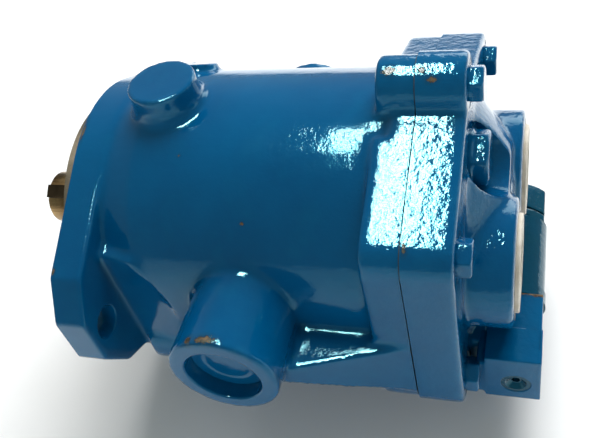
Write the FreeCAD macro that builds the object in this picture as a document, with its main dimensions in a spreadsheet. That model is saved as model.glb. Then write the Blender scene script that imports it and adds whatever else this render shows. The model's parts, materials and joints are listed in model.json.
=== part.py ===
import FreeCAD, Part
import Sketcher
import math
import os
import re

# Axial piston pump, in-line, variable displacement.
# X runs along the drive shaft: the mounting face is at X = 0, the shaft end points to -X and the
# rear ports to +X. The yoke's pintles lie on Y, the case drain boss is on top, at +Z.

doc = FreeCAD.newDocument("axial_piston_pump")
sheet = doc.addObject("Spreadsheet::Sheet", "Dims")

DIMENSIONS = {
    # mounting flange, two-bolt, 101.6 mm pilot
    "flange_thick": 14.1, "flange_round": 59.8, "flange_reach": 84.6, "flange_slope": 27.7,
    "flange_corner": 11.0, "bolt_spacing": 146.0, "bolt_hole_r": 7.15,
    "pilot_r": 50.8, "pilot_high": 9.5,
    # housing
    "case_r": 62.2, "cavity_r": 54.0, "case_nose_r": 58.8, "nose_end": 29.0,
    "cavity_front": 42.0, "seam_x": 143.2, "rear_rim_r": 64.5, "rear_rim_thick": 9.0,
    "rear_lug_thick": 15.0, "lug_circle": 68.2, "lug_r": 11.2, "lug_gap": 0.6,
    "side_flat": 68.5, "side_low": -37.0, "side_high": 37.0,
    "rail_front": 18.0, "rail_y": 47.0, "rail_drop": 36.0, "rail_r": 16.0,
    "drain_x": 34.4, "drain_reach": 68.6, "drain_r": 14.2, "drain_port_r": 8.4, "drain_port_deep": 13.0,
    "blank_drain_x": 37.7, "blank_drain_y": -1.5, "blank_drain_top": 72.0, "blank_drain_r": 14.5,
    "gauge_x": 37.5, "gauge_angle": 58, "gauge_top": 65.4, "gauge_r": 8.2,
    # yoke and pintles
    "pintle_x": 74.4, "boss_r": 22.7, "boss_face": 93.4, "far_boss_face": 79.2, "plug_r": 15.6,
    "plug_recess": 6.5, "far_plug_recess": 0.8, "plug_thick": 9.0, "far_plug_thick": 4.0,
    "pintle_bearing_in": 55.0, "pintle_bearing_r": 15.0, "pintle_bearing_long": 18.0, "journal_r": 10.0,
    "yoke_face": 6.5, "yoke_back": 16.5, "yoke_r": 42.0, "yoke_hole_r": 17.0,
    "cheek_in": 44.0, "cheek_out": 50.0, "cheek_half": 14.0,
    # rotating group
    "piston_count": 9, "bore_pitch_r": 29.0, "shoe_pitch_r": 29.56, "piston_r": 8.0, "bore_r": 8.7,
    "ball_r": 5.5, "socket_r": 5.65, "neck_r": 3.6, "shoe_r": 9.3, "shoe_body_r": 7.6,
    "oil_film": 0.15, "retainer_thick": 3.0, "retainer_r": 39.0, "guide_r": 17.5,
    "block_front": 90.0, "block_rear": 137.0, "block_r": 41.5, "spline_r": 11.0,
    # shaft and bearings
    "shaft_end": 46.0, "shaft_r": 12.7, "shaft_chamfer": 0.8, "seal_journal_r": 13.5,
    "key_wide": 6.35, "key_long": 32.0, "key_high": 2.2,
    "front_bearing_x": 20.0, "front_bearing_wide": 16.0, "front_bearing_r": 31.0,
    "inner_race_r": 15.0, "bearing_ball_r": 4.7,
    "rear_journal_r": 10.0, "rear_bearing_r": 14.0,
    # control piston and return spring
    "control_y": -38.6, "control_z": -34.8, "control_r": 6.5, "control_sleeve_r": 9.5,
    "spring_z": 47.3, "spring_r": 4.4,
    # valve cover and ports
    "cover_thick": 18.4, "cover_lug_r": 12.3, "cover_rim_r": 65.4, "cover_side_flat": 69.4,
    "port_face": 180.5, "port_y": 27.0, "port_boss_r": 26.5, "port_r": 12.7,
    "port_land_r": 20.0, "port_land_high": 1.6, "port_deep": 22.0, "boss_root": 150.0, "land_root": 155.0,
    # cover fasteners
    "bolt_r": 4.0, "bolt_flats": 12.7, "bolt_head": 5.6, "bolt_long": 28.0, "spot_deep": 0.3,
    "plug_seat_x": 162.0, "plug_y": -8.0, "plug_z": 39.0,
    # pressure compensator
    "comp_x": 181.5, "comp_z": -44.0, "comp_tube_r": 10.0, "comp_near": -56.0, "comp_pad_x": 166.0,
    "comp_seat_end": 19.0, "comp_top": -32.4,
    "spool_r": 3.5, "spring_room_r": 7.4, "cap_flats": 17.4,
}

for row, (word, number) in enumerate(DIMENSIONS.items(), start=1):
    sheet.set(f"A{row}", word)
    sheet.set(f"B{row}", str(number))
    sheet.setAlias(f"B{row}", word)
doc.recompute()

WORD = re.compile(r"[a-z][a-z_]*[a-z]")
LIE_ALONG = {
    "X": FreeCAD.Rotation(FreeCAD.Vector(0, 0, 1), FreeCAD.Vector(1, 0, 0)),
    "Y": FreeCAD.Rotation(FreeCAD.Vector(0, 0, 1), FreeCAD.Vector(0, 1, 0)),
    "-Y": FreeCAD.Rotation(FreeCAD.Vector(0, 0, 1), FreeCAD.Vector(0, -1, 0)),
    "Z": FreeCAD.Rotation(),
}
TURN_X_TO = {
    "X": FreeCAD.Rotation(),
    "Y": FreeCAD.Rotation(FreeCAD.Vector(0, 0, 1), 90),
    "-Y": FreeCAD.Rotation(FreeCAD.Vector(0, 0, 1), -90),
    "Z": FreeCAD.Rotation(FreeCAD.Vector(0, 1, 0), -90),
}
# how far out along Y each pintle plug's inner end lies
PLUG_IN = {
    "Y": "far_boss_face - far_plug_recess - far_plug_thick",
    "-Y": "boss_face - plug_recess - plug_thick",
}
BOLT_ANGLES = [33, 90, 147, 213, 270, 327]
parts = []


def size(text):
    """An expression on the sheet's cells, from plain words."""
    return WORD.sub(lambda m: "Dims." + m.group(0) if m.group(0) in DIMENSIONS else m.group(0), str(text))


def bind(thing, **sizes):
    for name, text in sizes.items():
        thing.setExpression(name, size(text))
    return thing


def place(thing, at, rotation=FreeCAD.Rotation()):
    thing.Placement = FreeCAD.Placement(FreeCAD.Vector(), rotation)
    for axis, text in zip("xyz", at):
        thing.setExpression(f".Placement.Base.{axis}", size(text))
    return thing


def cylinder(radius, length, at=(0, 0, 0), along="X"):
    body = bind(doc.addObject("Part::Cylinder", "Cylinder"), Radius=radius, Height=length)
    return place(body, at, LIE_ALONG[along])


def box(long_x, long_y, long_z, at):
    return place(bind(doc.addObject("Part::Box", "Box"), Length=long_x, Width=long_y, Height=long_z), at)


def cone(radius_a, radius_b, length, at=(0, 0, 0), along="X"):
    body = doc.addObject("Part::Cone", "Cone")
    bind(body, Radius1=radius_a, Radius2=radius_b, Height=length)
    return place(body, at, LIE_ALONG[along])


def sphere(radius, at=(0, 0, 0)):
    return place(bind(doc.addObject("Part::Sphere", "Sphere"), Radius=radius), at, LIE_ALONG["X"])


def hexagon(flats, thick, at, along="X"):
    body = doc.addObject("Part::Prism", "Prism")
    body.Polygon = 6
    bind(body, Circumradius=f"({flats}) / sqrt(3)", Height=thick)
    return place(body, at, LIE_ALONG[along])


def fuse(*shapes):
    body = doc.addObject("Part::MultiFuse", "Fuse")
    body.Shapes = list(shapes)
    body.Refine = True
    return body


def cut(base, *tools):
    body = doc.addObject("Part::Cut", "Cut")
    body.Base = base
    body.Tool = tools[0] if len(tools) == 1 else fuse(*tools)
    return body


def common(one, other):
    body = doc.addObject("Part::Common", "Common")
    body.Base = one
    body.Tool = other
    return body


def group(*shapes):
    body = doc.addObject("Part::Compound", "Group")
    body.Links = list(shapes)
    return body


def sketch_points(body, points, plane="XY_Plane"):
    """A closed outline in one of the body's origin planes, each corner bound to the sheet."""
    drawn = body.newObject("Sketcher::SketchObject", "Outline")
    drawn.AttachmentSupport = [next(f for f in body.Origin.OriginFeatures if f.Role == plane)]
    drawn.MapMode = "FlatFace"
    count = len(points)
    angles = [i * math.tau / count for i in range(count)]
    start = [FreeCAD.Vector(math.cos(angle), math.sin(angle)) for angle in angles]
    for i in range(count):
        drawn.addGeometry(Part.LineSegment(start[i], start[(i + 1) % count]), False)
    for i in range(count):
        drawn.addConstraint(Sketcher.Constraint("Coincident", i, 2, (i + 1) % count, 1))
    for i, point in enumerate(points):
        for kind, text in zip(("DistanceX", "DistanceY"), point):
            if str(text) == "0":
                axis = -2 if kind == "DistanceX" else -1
                drawn.addConstraint(Sketcher.Constraint("PointOnObject", i, 1, axis))
                continue
            number = drawn.addConstraint(Sketcher.Constraint(kind, -1, 1, i, 1, 1.0))
            drawn.renameConstraint(number, f"{kind}{i}")
            drawn.setExpression(f"Constraints.{kind}{i}", size(text))
    return drawn


def turned(points, at=(0, 0, 0), along="X"):
    """A solid of revolution: points are (distance along the axis, radius)."""
    body = doc.addObject("PartDesign::Body", "Turned")
    drawn = sketch_points(body, points)
    made = body.newObject("PartDesign::Revolution", "Revolution")
    made.Profile = drawn
    made.ReferenceAxis = (drawn, ["H_Axis"])
    made.Angle = 360
    return place(body, at, TURN_X_TO[along])


def padded(points, low, high):
    """A prism: an outline seen from above, from one height to another."""
    body = doc.addObject("PartDesign::Body", "Padded")
    drawn = sketch_points(body, points)
    made = body.newObject("PartDesign::Pad", "Pad")
    made.Profile = drawn
    made.setExpression("Length", size(f"({high}) - ({low})"))
    return place(body, (0, 0, low))


def tube(outer, inner, start, end, at=(0, 0, 0), along="X"):
    return turned([(start, inner), (start, outer), (end, outer), (end, inner)], at, along)


def ruled(sections):
    """A solid through flat sections: each is (X, [(Y, Z), ...])."""
    body = doc.addObject("Part::Feature", "Ruled")
    wires = [Part.makePolygon([FreeCAD.Vector(x, y, z) for y, z in outline + outline[:1]])
             for x, outline in sections]
    body.Shape = Part.makeLoft(wires, True, True)
    return body


def coil(radius, wire, turns, start, end, at, along):
    """A round-wire coil spring between two planes."""
    spring = doc.addObject("Part::Feature", "Coil")
    pitch = (end - start - 2 * wire) / turns
    helix = Part.makeHelix(pitch, pitch * turns, radius)
    ring = Part.Wire([Part.makeCircle(wire, FreeCAD.Vector(radius, 0, 0), FreeCAD.Vector(0, 1, 0))])
    spring.Shape = Part.Wire(helix.Edges).makePipeShell([ring], True, True)
    base = FreeCAD.Vector(*at) + LIE_ALONG[along].multVec(FreeCAD.Vector(0, 0, start + wire))
    spring.Placement = FreeCAD.Placement(base, LIE_ALONG[along])
    return spring


def keep(name, thing):
    thing.Label = name
    parts.append(thing)
    return thing


def around(radius, degrees):
    """The Y and Z of a point at an angle about the shaft."""
    return f"({radius}) * cos({degrees})", f"({radius}) * sin({degrees})"


def lug_outline(start, thick, angle, radius="lug_r"):
    """One bolt lug: a rounded pad on a web that runs in to the case."""
    y, z = around("lug_circle", angle)
    web = box(thick, f"2 * {radius}", "lug_circle", (0, 0, 0))
    turn = FreeCAD.Rotation(FreeCAD.Vector(1, 0, 0), angle - 90)
    place(web, (start, f"-{radius} * cos({angle - 90})", f"-{radius} * sin({angle - 90})"), turn)
    return fuse(cylinder(radius, thick, (start, y, z)), web)


def shoulders(start, end, rim_r, lug_r):
    """The flats that run from the rim to the two upper side lugs, tangent to both rounds."""
    reach = DIMENSIONS["lug_circle"]
    lug_angle = math.radians(BOLT_ANGLES[0])
    lean = lug_angle + math.acos((rim_r - lug_r) / reach)
    lug_y = reach * math.cos(lug_angle)
    lug_z = reach * math.sin(lug_angle)
    flats = []
    for side in (1, -1):
        outline = [
            (side * rim_r * math.cos(lean), rim_r * math.sin(lean)),
            (side * (lug_y + lug_r * math.cos(lean)), lug_z + lug_r * math.sin(lean)),
            (side * lug_y, lug_z), (side * lug_y / 2, lug_z)]
        flats.append(ruled([(start, outline), (end, outline)]))
    return flats


def bolt_holes(start, thick, radius):
    return [cylinder(radius, thick, (start, *around("lug_circle", a))) for a in BOLT_ANGLES]


# ---- housing: flange, case, pintle bosses, side rails and rear lugs, one casting ----

def flange_plate():
    """Round plate with two ears whose sides run tangent to the round."""
    slope = "flange_slope"
    half_end = f"(flange_round - flange_reach * sin({slope})) / cos({slope})"
    corner = f"(flange_round - (flange_reach - flange_corner) * sin({slope})) / cos({slope})"
    ears = doc.addObject("PartDesign::Body", "Ears")
    points = []
    for side in (1, -1):
        points += [
            (f"{side} * flange_round * sin({slope})", f"{side} * flange_round * cos({slope})"),
            (f"{side} * (flange_reach - flange_corner)", f"{side} * ({corner})"),
            (f"{side} * flange_reach", f"{side} * (({half_end}) - flange_corner)"),
            (f"{side} * flange_reach", f"-{side} * (({half_end}) - flange_corner)"),
            (f"{side} * (flange_reach - flange_corner)", f"-{side} * ({corner})"),
            (f"{side} * flange_round * sin({slope})", f"-{side} * flange_round * cos({slope})"),
        ]
    drawn = sketch_points(ears, points, "YZ_Plane")
    made = ears.newObject("PartDesign::Pad", "Pad")
    made.Profile = drawn
    made.setExpression("Length", size("flange_thick"))
    return fuse(ears, cylinder("flange_round", "flange_thick"))


def side_shelf(side):
    """The shelf from a pintle boss back to the rear lugs."""
    flat = DIMENSIONS["side_flat"]
    low = DIMENSIONS["side_low"]
    boss_edge = DIMENSIONS["pintle_x"] + DIMENSIONS["boss_r"] - 4
    reach = 85 if side < 0 else 76
    root = side * 48
    top = -5
    at_boss = [(root, top), (side * reach, top), (side * reach, -14), (root, -22)]
    at_lugs = [(root, top), (side * flat, top), (side * flat, low), (root, low - 8)]
    return ruled([(boss_edge, at_boss), (DIMENSIONS["seam_x"], at_lugs)])


def nose_flat(side):
    """The flat on each side of the nose, behind the flange: what squares it off, and what it takes away."""
    start = DIMENSIONS["flange_thick"]
    middle = DIMENSIONS["nose_end"]
    fills = []
    trims = []
    # along X: how far out the flat lies, and how high its upper edge is
    for x, out, top in ((start, 58.5, 27), (middle, 60, 25), (middle + 11, 61.2, 1)):
        fills.append((x, [(side * 45, top + 3), (side * out, top), (side * out, -39), (side * 45, -46)]))
        trims.append((x, [(side * out, top), (side * 66, top), (side * 66, -25), (side * out, -25)]))
    return ruled(fills), ruled(trims)


def case_body():
    """The round case: a nose that grows out of the flange, then a plain barrel."""
    return turned([
        ("flange_thick - 2", 0), ("flange_thick - 2", "case_nose_r"), ("flange_thick", "case_nose_r"),
        ("nose_end", "case_r"), ("seam_x", "case_r"), ("seam_x", 0)])


def housing():
    lug_start = "seam_x - rear_lug_thick"
    solid = [flange_plate(), cylinder("pilot_r", "pilot_high + 1", ("-pilot_high", 0, 0))]
    solid.append(cylinder("rear_rim_r", "rear_rim_thick", ("seam_x - rear_rim_thick", 0, 0)))
    for side, along, face in ((1, "Y", "far_boss_face"), (-1, "-Y", "boss_face")):
        solid.append(cylinder("boss_r", f"{face} - 40", ("pintle_x", f"{side} * 40", 0), along))
        solid.append(side_shelf(side))
        solid.append(box("rear_lug_thick", "side_flat - 40", "side_high - side_low",
                         (lug_start, "40" if side > 0 else "-side_flat", "side_low")))
        # round rail low on the case, over the control piston on one side and an oil way on the other
        rail_at = ("rail_front", f"{side} * rail_y", "-rail_drop")
        solid.append(cylinder("rail_r", "seam_x - rail_front", rail_at))
    solid += [lug_outline(lug_start, "rear_lug_thick", a) for a in BOLT_ANGLES]
    seam = DIMENSIONS["seam_x"]
    solid += shoulders(seam - DIMENSIONS["rear_lug_thick"], seam, DIMENSIONS["rear_rim_r"], DIMENSIONS["lug_r"])
    nose_fills, nose_trims = zip(*[nose_flat(side) for side in (1, -1)])
    solid += [cut(case_body(), *nose_trims), *nose_fills]
    blank_at = ("blank_drain_x", "blank_drain_y", 40)
    solid.append(cylinder("blank_drain_r", "blank_drain_top - 40", blank_at, "Z"))
    solid.append(cylinder("drain_r", "drain_reach - 40", ("drain_x", 0, "-drain_reach"), "Z"))
    gauge = bind(doc.addObject("Part::Cylinder", "Cylinder"), Radius="gauge_r", Height="gauge_top - 45")
    lean = FreeCAD.Rotation(FreeCAD.Vector(1, 0, 0), DIMENSIONS["gauge_angle"] - 90)
    solid.append(place(gauge, ("gauge_x", "45 * cos(gauge_angle)", "45 * sin(gauge_angle)"), lean))
    hollow = [
        cylinder("seal_journal_r + 1.2", "20", (-12, 0, 0)),
        cylinder("19.2", "11", (2.5, 0, 0)),
        cylinder("26", "8", (13, 0, 0)),
        cylinder("front_bearing_r + 0.02", "cavity_front - front_bearing_x + 1", ("front_bearing_x", 0, 0)),
        cylinder("cavity_r", "seam_x - cavity_front + 1", ("cavity_front", 0, 0)),
        cylinder("control_sleeve_r + 4", "seam_x - 50", (51, "control_y", "control_z")),
        cylinder("drain_port_r", "drain_port_deep + 1", ("drain_x", 0, "-drain_reach - 1"), "Z"),
        cylinder(4, 22, ("drain_x + 4", 0, "-drain_reach + 8"), "Z"),
    ]
    for side, along in ((1, "Y"), (-1, "-Y")):
        plug_room = ("pintle_x", f"{side} * ({PLUG_IN[along]} - 1)", 0)
        hollow.append(cylinder("pintle_bearing_r + 0.02", "50", ("pintle_x", f"{side} * 45", 0), along))
        hollow.append(cylinder("plug_r + 0.02", "30", plug_room, along))
        hollow.append(cylinder("bolt_hole_r", "30", (-5, f"{side} * bolt_spacing / 2", 0)))
    hollow += bolt_holes("seam_x - 14", "15", "bolt_r - 0.5")
    return cut(fuse(*solid), *hollow)


keep("housing", housing())

# ---- valve cover: lug plate, tapered back, two rear port bosses, compensator pad ----

cover_start = "seam_x + lug_gap"
cover_end = "seam_x + lug_gap + cover_thick"


def valve_cover():
    solid = [cylinder("cover_rim_r", "cover_thick", (cover_start, 0, 0))]
    solid += [lug_outline(cover_start, "cover_thick", a, "cover_lug_r") for a in BOLT_ANGLES]
    for side in (1, -1):
        solid.append(box("cover_thick", "cover_side_flat - 30", "side_high - side_low",
                         (cover_start, "30" if side > 0 else "-cover_side_flat", "side_low")))
        solid.append(cylinder("port_boss_r", "port_face - boss_root", ("boss_root", f"{side} * port_y", 0)))
        land_long = "port_face + port_land_high - land_root"
        solid.append(cylinder("port_land_r", land_long, ("land_root", f"{side} * port_y", 0)))
    start = DIMENSIONS["seam_x"] + DIMENSIONS["lug_gap"]
    end = start + DIMENSIONS["cover_thick"]
    solid += shoulders(start, end, DIMENSIONS["cover_rim_r"], DIMENSIONS["cover_lug_r"])
    solid.append(cone("50", "30", f"port_face - 4 - ({cover_end})", (cover_end, 0, 0)))
    solid.append(box("port_face - 3 - land_root", "2 * port_y", "36", ("land_root", "-port_y", -18)))
    solid.append(box("comp_pad_x - 0.1 - boss_root", "64", "26", ("boss_root", -46, -57)))
    hollow = [
        cylinder("rear_bearing_r + 0.02", "18", (f"{cover_start} - 1", 0, 0)),
        cylinder("control_sleeve_r + 0.02", "8", (f"{cover_start} - 1", "control_y", "control_z")),
        cylinder("3", "18", (f"{cover_start} - 1", "control_y", "control_z")),
        cylinder("6", "12", ("plug_seat_x - 8", "plug_y", "plug_z")),
        cylinder("14", "30", ("plug_seat_x", "plug_y", "plug_z")),
        # the compensator's flat seat on the tapered back
        box("30", "comp_seat_end - comp_near + 3", "40",
            ("comp_pad_x - 0.1", "comp_near - 3", "comp_top - 40")),
    ]
    port_bottom = "port_face + port_land_high - port_deep"
    for side in (1, -1):
        hollow.append(cylinder("port_r", "port_deep + 3", (port_bottom, f"{side} * port_y", 0)))
        hollow.append(cylinder("5", "24", (f"{cover_start} - 1", f"{side} * 22", 0)))
    hollow += bolt_holes(f"{cover_start} - 1", "cover_thick + 2", "bolt_r + 0.4")
    spot_face = f"{cover_end} - spot_deep"
    hollow += [cylinder("8.4", "30", (spot_face, *around("lug_circle", a))) for a in BOLT_ANGLES]
    return cut(fuse(*solid), *hollow)


keep("valve_cover", valve_cover())


def plate_outline(start, thick):
    solid = [cylinder("case_r - 1", thick, (start, 0, 0))]
    solid += [lug_outline(start, thick, a) for a in BOLT_ANGLES]
    return fuse(*solid)


keep("cover_gasket", cut(
    plate_outline("seam_x + 0.05", "0.5"),
    cylinder("cavity_r + 0.5", 3, ("seam_x - 1", 0, 0)),
    cylinder("control_sleeve_r + 4.5", 3, ("seam_x - 1", "control_y", "control_z")),
    *bolt_holes("seam_x - 1", "3", "bolt_r + 0.4")))

bolts = []
for angle in BOLT_ANGLES:
    y, z = around("lug_circle", angle)
    head = hexagon("bolt_flats", "bolt_head", (f"{cover_end} - spot_deep", y, z))
    shank = cylinder("bolt_r - 0.6", "bolt_long", (f"{cover_end} - bolt_long", y, z))
    bolts.append(fuse(head, shank))
keep("cover_bolts", group(*bolts))

keep("cover_plug", fuse(
    cylinder("5.9", "7.5", ("plug_seat_x - 7", "plug_y", "plug_z")),
    cylinder("11.5", "1.4", ("plug_seat_x", "plug_y", "plug_z")),
    hexagon("20", "6.6", ("plug_seat_x + 1", "plug_y", "plug_z"))))

# ---- pintle plugs, their seals and the pintle bearings ----

plugs = []
seals = []
pintle_rings = []
for along, plug_out in (("Y", "far_boss_face - far_plug_recess"), ("-Y", "boss_face - plug_recess")):
    at = ("pintle_x", 0, 0)
    plug_in = PLUG_IN[along]
    plugs.append(turned([
        (plug_in, 0), (plug_in, "plug_r - 0.6"), (f"{plug_in} + 0.6", "plug_r"),
        (f"{plug_in} + 0.9", "plug_r"), (f"{plug_in} + 0.9", "plug_r - 2"),
        (f"{plug_in} + 3.3", "plug_r - 2"), (f"{plug_in} + 3.3", "plug_r"),
        (plug_out, "plug_r"), (plug_out, 0),
    ], at, along))
    seals.append(tube("plug_r - 0.05", "plug_r - 1.9", f"{plug_in} + 1.1", f"{plug_in} + 3.1", at, along))
    ring_out = "pintle_bearing_in + pintle_bearing_long"
    pintle_rings.append(
        tube("pintle_bearing_r", "journal_r + 0.06", "pintle_bearing_in", ring_out, at, along))
keep("pintle_plugs", group(*plugs))
keep("pintle_plug_seals", group(*seals))
keep("pintle_bearings", group(*pintle_rings))

# ---- drive shaft, key, bearings and shaft seal ----

race_shoulder = "front_bearing_x + front_bearing_wide"
shaft = turned([
    ("-shaft_end", 0), ("-shaft_end", "shaft_r - shaft_chamfer"), ("-shaft_end + shaft_chamfer", "shaft_r"),
    ("-pilot_high + 0.5", "shaft_r"), ("-pilot_high + 0.5", "seal_journal_r"), (14, "seal_journal_r"),
    (14, "inner_race_r"), (race_shoulder, "inner_race_r"), (race_shoulder, "inner_race_r + 3"),
    (42, "inner_race_r + 3"), (42, "14"), (49, "14"),
    (49, "spline_r"), (f"{cover_start} - 0.5", "spline_r"), (f"{cover_start} - 0.5", "rear_journal_r"),
    (158, "rear_journal_r"), (158, 0)])
KEY_ANGLE = 124
turn_key = FreeCAD.Rotation(FreeCAD.Vector(1, 0, 0), KEY_ANGLE - 90)


def key_block(wide, low, high, start, long):
    block = box(long, wide, f"({high}) - ({low})", (0, 0, 0))
    across = f"-({wide}) / 2"
    tilt = KEY_ANGLE - 90
    y = f"({across}) * cos({tilt}) - ({low}) * sin({tilt})"
    z = f"({across}) * sin({tilt}) + ({low}) * cos({tilt})"
    return place(block, (start, y, z), turn_key)


keyway = key_block("key_wide", "shaft_r - 3.2", "shaft_r + 4", "-shaft_end - 1", "key_long + 1")
keep("drive_shaft", cut(shaft, keyway))
keep("shaft_key", key_block("key_wide - 0.02", "shaft_r - 3.18", "shaft_r + key_high",
                            "-shaft_end + 1.4", "key_long - 1.8"))

race_start = "front_bearing_x + 0.05"
race_end = "front_bearing_x + front_bearing_wide - 0.05"
race_middle = "front_bearing_x + front_bearing_wide / 2"
ball_circle = "(front_bearing_r + inner_race_r) / 2"
BALL_COUNT = 9
ball_places = [(race_middle, *around(ball_circle, i * 360 / BALL_COUNT)) for i in range(BALL_COUNT)]


def ball_groove():
    ring = bind(doc.addObject("Part::Torus", "Torus"), Radius1=ball_circle, Radius2="bearing_ball_r + 0.15")
    return place(ring, (race_middle, 0, 0), LIE_ALONG["X"])


keep("front_bearing_outer_race", cut(tube("front_bearing_r", "front_bearing_r - 4.4", race_start, race_end),
                                     ball_groove()))
keep("front_bearing_inner_race", cut(tube("inner_race_r + 4.4", "inner_race_r + 0.01", race_start, race_end),
                                     ball_groove()))
balls = [sphere("bearing_ball_r", at) for at in ball_places]
pockets = []
for i in range(BALL_COUNT):
    pocket = bind(doc.addObject("Part::Cylinder", "Cylinder"), Radius="bearing_ball_r + 0.2", Height=12)
    spoke = FreeCAD.Rotation(FreeCAD.Vector(1, 0, 0), i * 360 / BALL_COUNT - 90)
    inner_end = around(f"{ball_circle} - 6", i * 360 / BALL_COUNT)
    pockets.append(place(pocket, (race_middle, *inner_end), spoke))
cage_ring = tube(f"{ball_circle} + 1.2", f"{ball_circle} - 1.2", f"{race_middle} - 6", f"{race_middle} + 6")
cage = cut(cage_ring, *pockets)
keep("front_bearing_balls", group(*balls))
keep("front_bearing_cage", cage)
keep("bearing_snap_ring", tube("front_bearing_r", "front_bearing_r - 4",
                               f"{race_end} + 0.1", f"{race_end} + 1.8"))
keep("shaft_seal", turned([
    (3, "seal_journal_r + 0.08"), (3, "19.2"), (12, "19.2"), (12, "17"), (5, "17"), (5, "15"), (9, "15"),
    (9, "seal_journal_r + 0.08")]))
keep("rear_bearing", tube("rear_bearing_r", "rear_journal_r + 0.06", f"{cover_start}", f"{cover_start} + 15"))

# ---- cylinder block, its spring, port plate and dowel ----

step_angle = 360 / DIMENSIONS["piston_count"]
PISTON_ANGLES = [90 + i * step_angle for i in range(DIMENSIONS["piston_count"])]
block_bores = []
for angle in PISTON_ANGLES:
    y, z = around("bore_pitch_r", angle)
    block_bores.append(cylinder("bore_r", "block_rear - 4 - block_front + 1", ("block_front - 1", y, z)))
    block_bores.append(cylinder("4", "8", ("block_rear - 6", *around("bore_pitch_r - 4", angle))))
keep("cylinder_block", cut(
    turned([("block_front", "15.6"), ("block_front", "block_r - 1.5"), ("block_front + 1.5", "block_r"),
            ("block_rear - 1.5", "block_r"), ("block_rear", "block_r - 1.5"),
            ("block_rear", "spline_r + 0.02"), (118, "spline_r + 0.02"), (118, "15.6")]), *block_bores))
keep("spherical_washer", cut(
    fuse(common(sphere("guide_r", ("pintle_x", 0, 0)), cylinder(20, 13, ("pintle_x - 5", 0, 0))),
         cylinder("15.3", 18, ("pintle_x + 6", 0, 0))),
    cylinder("spline_r + 0.02", 40, ("pintle_x - 8", 0, 0))))
keep("block_spring", coil(13.2, 1.2, 4, 98.6, 117.8, (0, 0, 0), "X"))
# each kidney-shaped port in the plate is a row of overlapping holes, as far round as these angles
KIDNEY_ANGLES = [-30, -15, 0, 15, 30, 150, 165, 180, 195, 210]
keep("port_plate", cut(
    tube("36", "13", "block_rear + 0.15", f"{cover_start} - 0.02"),
    *[cylinder("4", "8", ("block_rear - 1", *around("bore_pitch_r - 4", a))) for a in KIDNEY_ANGLES],
    cylinder("2.05", "4", (f"{cover_start} - 3", 0, "31"))))
keep("port_plate_pin", cylinder("2", "2.8", (f"{cover_start} - 2.85", 0, "31")))

# ---- pistons, shoes and the plate that holds the shoes to the yoke ----

shoe_back = "-yoke_face + oil_film"
for number, angle in enumerate(PISTON_ANGLES, start=1):
    seat = ("pintle_x", *around("shoe_pitch_r", angle))
    keep(f"shoe_{number}", cut(
        turned([(shoe_back, 0), (shoe_back, "shoe_r"), (f"{shoe_back} + 2", "shoe_r"),
                (f"{shoe_back} + 2", "shoe_body_r"), ("2.6", "shoe_body_r"), ("2.6", 0)], seat),
        sphere("socket_r", seat)))
    keep(f"piston_{number}", cut(
        fuse(sphere("ball_r", seat), turned([
            (0, 0), (0, "neck_r"), (8.6, "neck_r"), (10, "piston_r"), (49.6, "piston_r"), (49.6, 0)], seat)),
        cylinder("5", 28, ("pintle_x + 23", *around("shoe_pitch_r", angle)))))

plate_back = "pintle_x - yoke_face + oil_film + 2.3"
shoe_holes = []
for angle in PISTON_ANGLES:
    hole_at = (f"{plate_back} - 2", *around("shoe_pitch_r", angle))
    shoe_holes.append(cylinder("shoe_body_r + 0.4", 8, hole_at))
keep("shoe_retainer", cut(
    cylinder("retainer_r", "retainer_thick", (plate_back, 0, 0)),
    sphere("guide_r + 0.25", ("pintle_x", 0, 0)),
    *shoe_holes))

# ---- yoke, its journals, return spring and control piston ----

yoke_start = "pintle_x - yoke_back"
yoke_thick = "yoke_back - yoke_face"
yoke_solid = [
    cylinder("yoke_r", yoke_thick, (yoke_start, 0, 0)),
    box(yoke_thick, "2 * cheek_out", "2 * cheek_half", (yoke_start, "-cheek_out", "-cheek_half")),
    cylinder("7", "8", ("pintle_x - yoke_face - 8", "control_y", "control_z")),
    box("8", "14", "16", ("pintle_x - yoke_face - 8", "control_y", "control_z")),
    cylinder("6", "8", ("pintle_x - yoke_face - 8", 0, "spring_z")),
]
for side, along in ((1, "Y"), (-1, "-Y")):
    y_low = "cheek_in" if side > 0 else "-cheek_out"
    cheek_at = (yoke_start, y_low, "-cheek_half")
    yoke_solid.append(box("yoke_back + 9.5", "cheek_out - cheek_in", "2 * cheek_half", cheek_at))
    yoke_solid.append(cylinder("journal_r", "24", ("pintle_x", f"{side} * cheek_in", 0), along))
keep("yoke", cut(fuse(*yoke_solid), cylinder("yoke_hole_r", "30", ("pintle_x - 25", 0, 0))))
keep("yoke_spring", coil(DIMENSIONS["spring_r"], 0.9, 12, 68.4, 135.5, (0, 0, DIMENSIONS["spring_z"]), "X"))
keep("yoke_spring_seat", fuse(
    cylinder("5.6", 2, (135.8, 0, "spring_z")), cylinder("3", 14, (123, 0, "spring_z")),
    cylinder("3.5", f"{cover_start} - 0.1 - 136.5", ("136.5", 0, "spring_z"))))
control_tip = "pintle_x - yoke_face + 0.3 + control_r"
keep("control_piston", fuse(
    sphere("control_r", (control_tip, "control_y", "control_z")),
    cylinder("control_r", "45", (control_tip, "control_y", "control_z"))))
keep("control_sleeve", tube("control_sleeve_r", "control_r + 0.04", "92", f"{cover_start} + 6.5",
                            (0, "control_y", "control_z")))

# ---- pressure compensator: valve body, spring tube, spool, spring, adjusting cap, end plug ----


def along_valve(radius, start, end):
    return cylinder(radius, f"({end}) - ({start})", ("comp_x", start, "comp_z"), "Y")


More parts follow.
